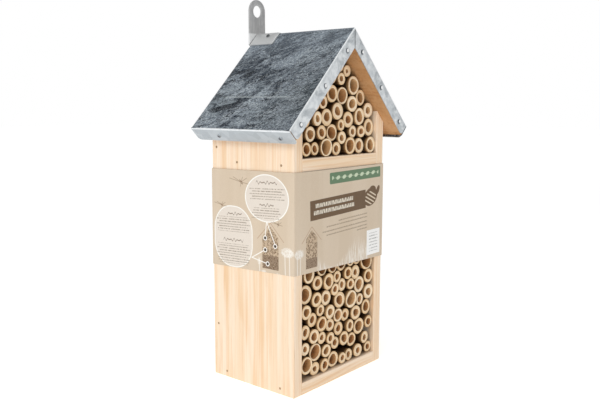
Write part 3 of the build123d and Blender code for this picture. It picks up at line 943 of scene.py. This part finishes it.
def front_print():
    """A ribbon with two lines of marks, a striped leaf, small print, grass, a white label with
    grey rows, and a green strip of leaves."""
    sheet = Print("card_front", False)
    tilt = 2.0
    hill = 12.0 + ((sheet.u - 6.0) / 11.0).sine() * 9.0
    grass_height = (sheet.v - PRINT_FLOOR) / hill
    grass = blades(sheet, 0.75, 0.10, 0.035, 0.0).greater(blades(sheet, 0.85, -0.16, 0.03, 4.0))
    grass = grass * grass_height.fall(0.4, 1.2) * sheet.u.between(-32.0, 38.0, 3.0)
    sheet.lay(grass, WHITE_INK, 0.62)
    add_little_house(sheet, (-39.5, 114.0), (7.0, 12.0), 9.0, 8.0)
    stems = (((-57.0, 112.0), -56.5), ((-53.0, 112.0), -53.5))
    add_seed_head(sheet, (-55.0, 115.0), (5.5, 3.6), stems)
    ribbon = sheet.filled(sheet.slab((-4.0, 148.6), (37.6, 7.9), 0.0, tilt))
    sheet.lay(ribbon, BROWN_INK)
    leaf = sheet.filled(sheet.oval((41.0, 151.0), (10.4, 7.6), 18.0))
    tip = sheet.filled(sheet.oval((52.0, 156.0), (4.4, 2.2), 62.0))
    bud = sheet.filled(sheet.oval((44.0, 157.0), (5.0, 3.4), 0.0))
    sheet.lay(leaf.greater(tip).greater(bud), BROWN_INK)
    v = sheet.turned((41.0, 150.0), -24.0)[1]
    stripes = abs((v / 3.1).fraction() - 0.5).fall(0.16, 0.22)
    stripes = stripes * sheet.filled(sheet.oval((41.0, 150.0), (8.2, 5.8), 12.0))
    sheet.lay(stripes, paint(226, 210, 184), 0.9)
    for height, reach in ((151.6, 25.0), (146.2, 27.0)):
        rows = sheet.rows((-10.0, height), (reach, 1.7), 9.0, 2.6, 0.8, tilt)
        sheet.lay(rows, paint(244, 236, 218), 0.95)
    end = 36.0
    for start, height in ((-5.0, 136.6), (-21.0, 133.4), (-26.0, 129.6), (-21.0, 126.6), (21.0, 124.6)):
        rows = sheet.rows(((start + end) / 2, height), ((end - start) / 2, 0.7), 4.0, 0.62, 0.6, tilt)
        sheet.lay(rows, BROWN_INK, 0.7)
    label, strip, tilt = (46.0, 111.0), (19.2, 171.5), 0.8
    sheet.lay(sheet.filled(sheet.slab(label, (10.0, 11.0), 0.4, tilt)), paint(250, 250, 248))
    sheet.lay(sheet.rows(label, (6.5, 8.2), 2.7, 0.8, 0.9, tilt), paint(150, 150, 150), 0.8)
    sheet.lay(sheet.filled(sheet.slab(strip, (36.3, 4.6), 1.2, tilt)), paint(92, 124, 92))
    u, v = sheet.turned(strip, tilt)
    pitch = 8.4
    step = (u / pitch + 0.5).fraction() - 0.5
    leaf_u, leaf_v = step * pitch + v * 0.5, v - step * 3.0
    leaf = ((leaf_u / 3.0) * (leaf_u / 3.0) + (leaf_v / 1.7) * (leaf_v / 1.7)).fall(0.85, 1.05)
    sheet.lay(leaf * abs(u).fall(33.0, 33.4), paint(206, 220, 190), 0.9)
    sheet.lay(abs(v).fall(0.10, 0.22) * abs(u).fall(33.0, 33.6), paint(206, 220, 190), 0.8)
    return sheet.card()


CARD = 0.5 * MM
CARD_CORNER = 1.1 * MM
BAND_CUTS = 6
SIDE_PRINT, FRONT_PRINT, PLAIN_CARD = range(3)


def sleeve(side, front, plain):
    """The band: a bent strip of card round the house. The place of its glued lap at the back
    stays free."""
    low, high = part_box("card_band")
    back = high.y - CARD
    mesh = bmesh.new()
    bmesh.ops.create_grid(mesh, x_segments=1, y_segments=1, size=0.5)
    bmesh.ops.delete(mesh, geom=mesh.faces[:], context="FACES_ONLY")
    bmesh.ops.scale(mesh, vec=(high.x - low.x, back - low.y, 1), verts=mesh.verts)
    bmesh.ops.translate(mesh, vec=(0, (back + low.y) / 2, low.z), verts=mesh.verts)
    rounded(mesh, mesh.verts[:], CARD_CORNER, 4, "VERTICES")
    draw_out(mesh, mesh.edges[:], (0, 0, high.z - low.z))
    for step in range(1, BAND_CUTS):
        cut(mesh, (0, 0, low.z + (high.z - low.z) * step / BAND_CUTS), (0, 0, 1))
    for step in range(1 - BAND_CUTS, BAND_CUTS):
        cut(mesh, (high.x * step / BAND_CUTS, 0, 0), (1, 0, 0))
        cut(mesh, (0, back * step / BAND_CUTS, 0), (0, 1, 0))
    for vert in mesh.verts:
        left = (high.x - vert.co.x) / (high.x - low.x)
        fore = (back - vert.co.y) / (back - low.y)
        rise = (vert.co.z - low.z) / (high.z - low.z)
        # in mm: it sits crooked, low at the back and high in front, most at the bottom left
        lift = fore * (2.2 * left * (1 - rise) + 1.05 * rise) - 0.4 * (1 - fore)
        ripple = noise.noise(Vector((vert.co.x * 30, vert.co.y * 30, vert.co.z * 60)))
        edge = 4 * rise * (1 - rise)
        away = Vector((vert.co.x / high.x, vert.co.y / back, 0))
        middle = 1 - min(abs(away.x), abs(away.y))
        if abs(away.x) > abs(away.y):
            out = Vector((math.copysign(1, away.x), 0, 0))
        else:
            out = Vector((0, math.copysign(1, away.y), 0))
        vert.co += out * MM * middle * (0.22 + 0.20 * ripple + 0.15 * edge)
        vert.co.z += lift * MM
    thickened(mesh, CARD, Vector((-1, 0, 0)))
    for face in mesh.faces:
        out = face.normal
        if out.x < -0.5:
            face.material_index = SIDE_PRINT
        else:
            face.material_index = FRONT_PRINT if out.y < -0.5 else PLAIN_CARD
    return finished(mesh, "sleeve", (side, front, plain), "band", ["card_band"])


# ---- hanging bracket ----
STRAP_CREASE = math.radians(50)  # a sharper edge than this is softened
STRAP_SOFTNESS = 0.22 * MM


def bracket(material):
    """The CAD bracket with its loose triangles joined and its edges and bend softened."""
    mesh = bmesh.new()
    mesh.from_mesh(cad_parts["hanger"].data)
    bmesh.ops.remove_doubles(mesh, verts=mesh.verts, dist=SAME_PLACE)
    bmesh.ops.dissolve_limit(mesh, angle_limit=math.radians(1), verts=mesh.verts, edges=mesh.edges)
    rounded(mesh, creases(mesh, STRAP_CREASE), STRAP_SOFTNESS, 2)
    return finished(mesh, "strap", (material,), "house", ["hanger"])


# ---- studio ----
SKY_LIGHT = 0.46  # what the white sky gives as light; the camera sees it at full strength
# each lamp's name, place, aim, size in metres and power in watts
LAMPS = (
    ("key", (-1.27, -0.40, 0.70), (0, 0, 0.16), 0.6, 5.5),
    ("front", (0.2, -1.3, 0.55), (0, 0, 0.16), 0.8, 0.3),
    ("top", (-0.2, 0.1, 1.5), (0, 0, 0.2), 0.9, 2.6),
)


def studio():
    scene = bpy.context.scene
    scene.view_settings.view_transform = "Standard"
    world = bpy.data.worlds.new("studio")
    scene.world = world
    world.use_nodes = True
    nodes, links = world.node_tree.nodes, world.node_tree.links
    background = nodes["Background"]
    background.inputs["Color"].default_value = (1.0, 1.0, 1.0, 1.0)
    seen = nodes.new("ShaderNodeLightPath")
    level = nodes.new("ShaderNodeMapRange")
    level.inputs["To Min"].default_value = SKY_LIGHT
    level.inputs["To Max"].default_value = 1.0
    links.new(seen.outputs["Is Camera Ray"], level.inputs["Value"])
    links.new(level.outputs["Result"], background.inputs["Strength"])
    for name, place, aim, size, power in LAMPS:
        lamp = bpy.data.lights.new(name, "AREA")
        lamp.shape = "DISK"
        lamp.size = size
        lamp.energy = power
        light = bpy.data.objects.new(name, lamp)
        light.location = place
        light.rotation_euler = (Vector(aim) - Vector(place)).to_track_quat("-Z", "Y").to_euler()
        scene.collection.objects.link(light)


FLOOR_HALF = 6.0  # metres


def floor():
    """White paper that glows a little, and slightly more far off, so that it meets the sky."""
    mesh = bmesh.new()
    bmesh.ops.create_grid(mesh, x_segments=8, y_segments=8, size=FLOOR_HALF)
    data = bpy.data.meshes.new("floor")
    mesh.to_mesh(data)
    mesh.free()
    finish = Finish("floor_paint")
    mottle = finish.cloud(finish.place(scale=(0.01, 0.01, 0.01)), 1.0, 3.0)
    colour = finish.mix(mottle, paint(252, 252, 252), paint(248, 248, 247))
    x, y, z = finish.apart(finish.place())
    far = (x * x + y * y).root().rise(1200.0, 2400.0)
    data.materials.append(finish.done(
        Base_Color=colour,
        Roughness=0.75,
        Specular_IOR_Level=0.1,
        Emission_Color=finish.mix(far, (0.88, 0.88, 0.88, 1.0), (1.0, 1.0, 1.0, 1.0)),
        Emission_Strength=0.60,
    ))
    ground = bpy.data.objects.new("floor", data)
    bpy.context.scene.collection.objects.link(ground)


CAMERA_PLACE = (-0.4774, -0.3994, 0.2311)
CAMERA_TURN = (50.0973, 7.589, 0.145)  # yaw, pitch and roll in degrees


def camera():
    """Looks at the house from its front left corner, a little above the band."""
    yaw, pitch, roll = (math.radians(angle) for angle in CAMERA_TURN)
    ahead = Vector((math.sin(yaw) * math.cos(pitch), math.cos(yaw) * math.cos(pitch), -math.sin(pitch)))
    right = ahead.cross(Vector((0, 0, 1))).normalized()
    up = right.cross(ahead)
    level_right = right * math.cos(roll) + up * math.sin(roll)
    level_up = up * math.cos(roll) - right * math.sin(roll)
    lens = bpy.data.cameras.new("camera")
    lens.lens = 43.75
    lens.sensor_width = 36.0
    lens.clip_start = 0.02
    view = bpy.data.objects.new("camera", lens)
    turn = Matrix((level_right, level_up, -ahead)).transposed().to_4x4()
    view.matrix_world = Matrix.Translation(CAMERA_PLACE) @ turn
    bpy.context.scene.collection.objects.link(view)
    bpy.context.scene.camera = view


# ---- the whole house ----
camera()
studio()
floor()
dress_boards()

slope_zinc = weathered_zinc(77.0, (-36.0, 34.0))
edge_zinc = bright_zinc("bright_zinc", paint(192, 198, 202), paint(160, 167, 172))
# painted highlight: the folds' zinc is near-white
fold_highlight_zinc = bright_zinc("painted_fold_highlight", paint(248, 250, 251), paint(224, 230, 233), 0.3, 0.4)
roof_sheet(slope_zinc, edge_zinc, fold_highlight_zinc, nailed_zinc(middles_right_of_ridge("gable_nails")))
bracket(bracket_steel(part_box("hanger")[1]))

# the gable nails: dark sides as painted shade, and a near-white crown as a painted highlight
highlit_gable_nail = nail_finish(
    "highlit_gable_nail", paint(98, 104, 110), paint(76, 82, 88), 0.5, gable_crown, paint(254, 255, 255)
)
# the eave nails: a dark crown, painted shade
eave_nail = nail_finish(
    "eave_nail", paint(196, 201, 204), paint(172, 178, 182), 0.6, eave_crown, paint(84, 86, 90)
)
grey_nail = nail_finish("grey_nail", paint(126, 128, 130), paint(84, 86, 88))
pin = nail_finish("pin", paint(196, 166, 132), paint(160, 128, 94))
cover("gable_nails", highlit_gable_nail)
cover("eave_nails", eave_nail)
cover("hanger_nails", grey_nail)
for node in ("shelf_nails", "base_nails", "back_nails", "roof_nails", "ridge_nails"):
    cover(node, pin)

cane_finishes = (cane_skin(), cane_cut(), cane_bore())
chance = random.Random(CANE_SEED)
for node in sorted(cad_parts):
    if "canes" in node:
        cane_row(node, cane_finishes, chance)

sleeve(side_print(), front_print(), plain_print())
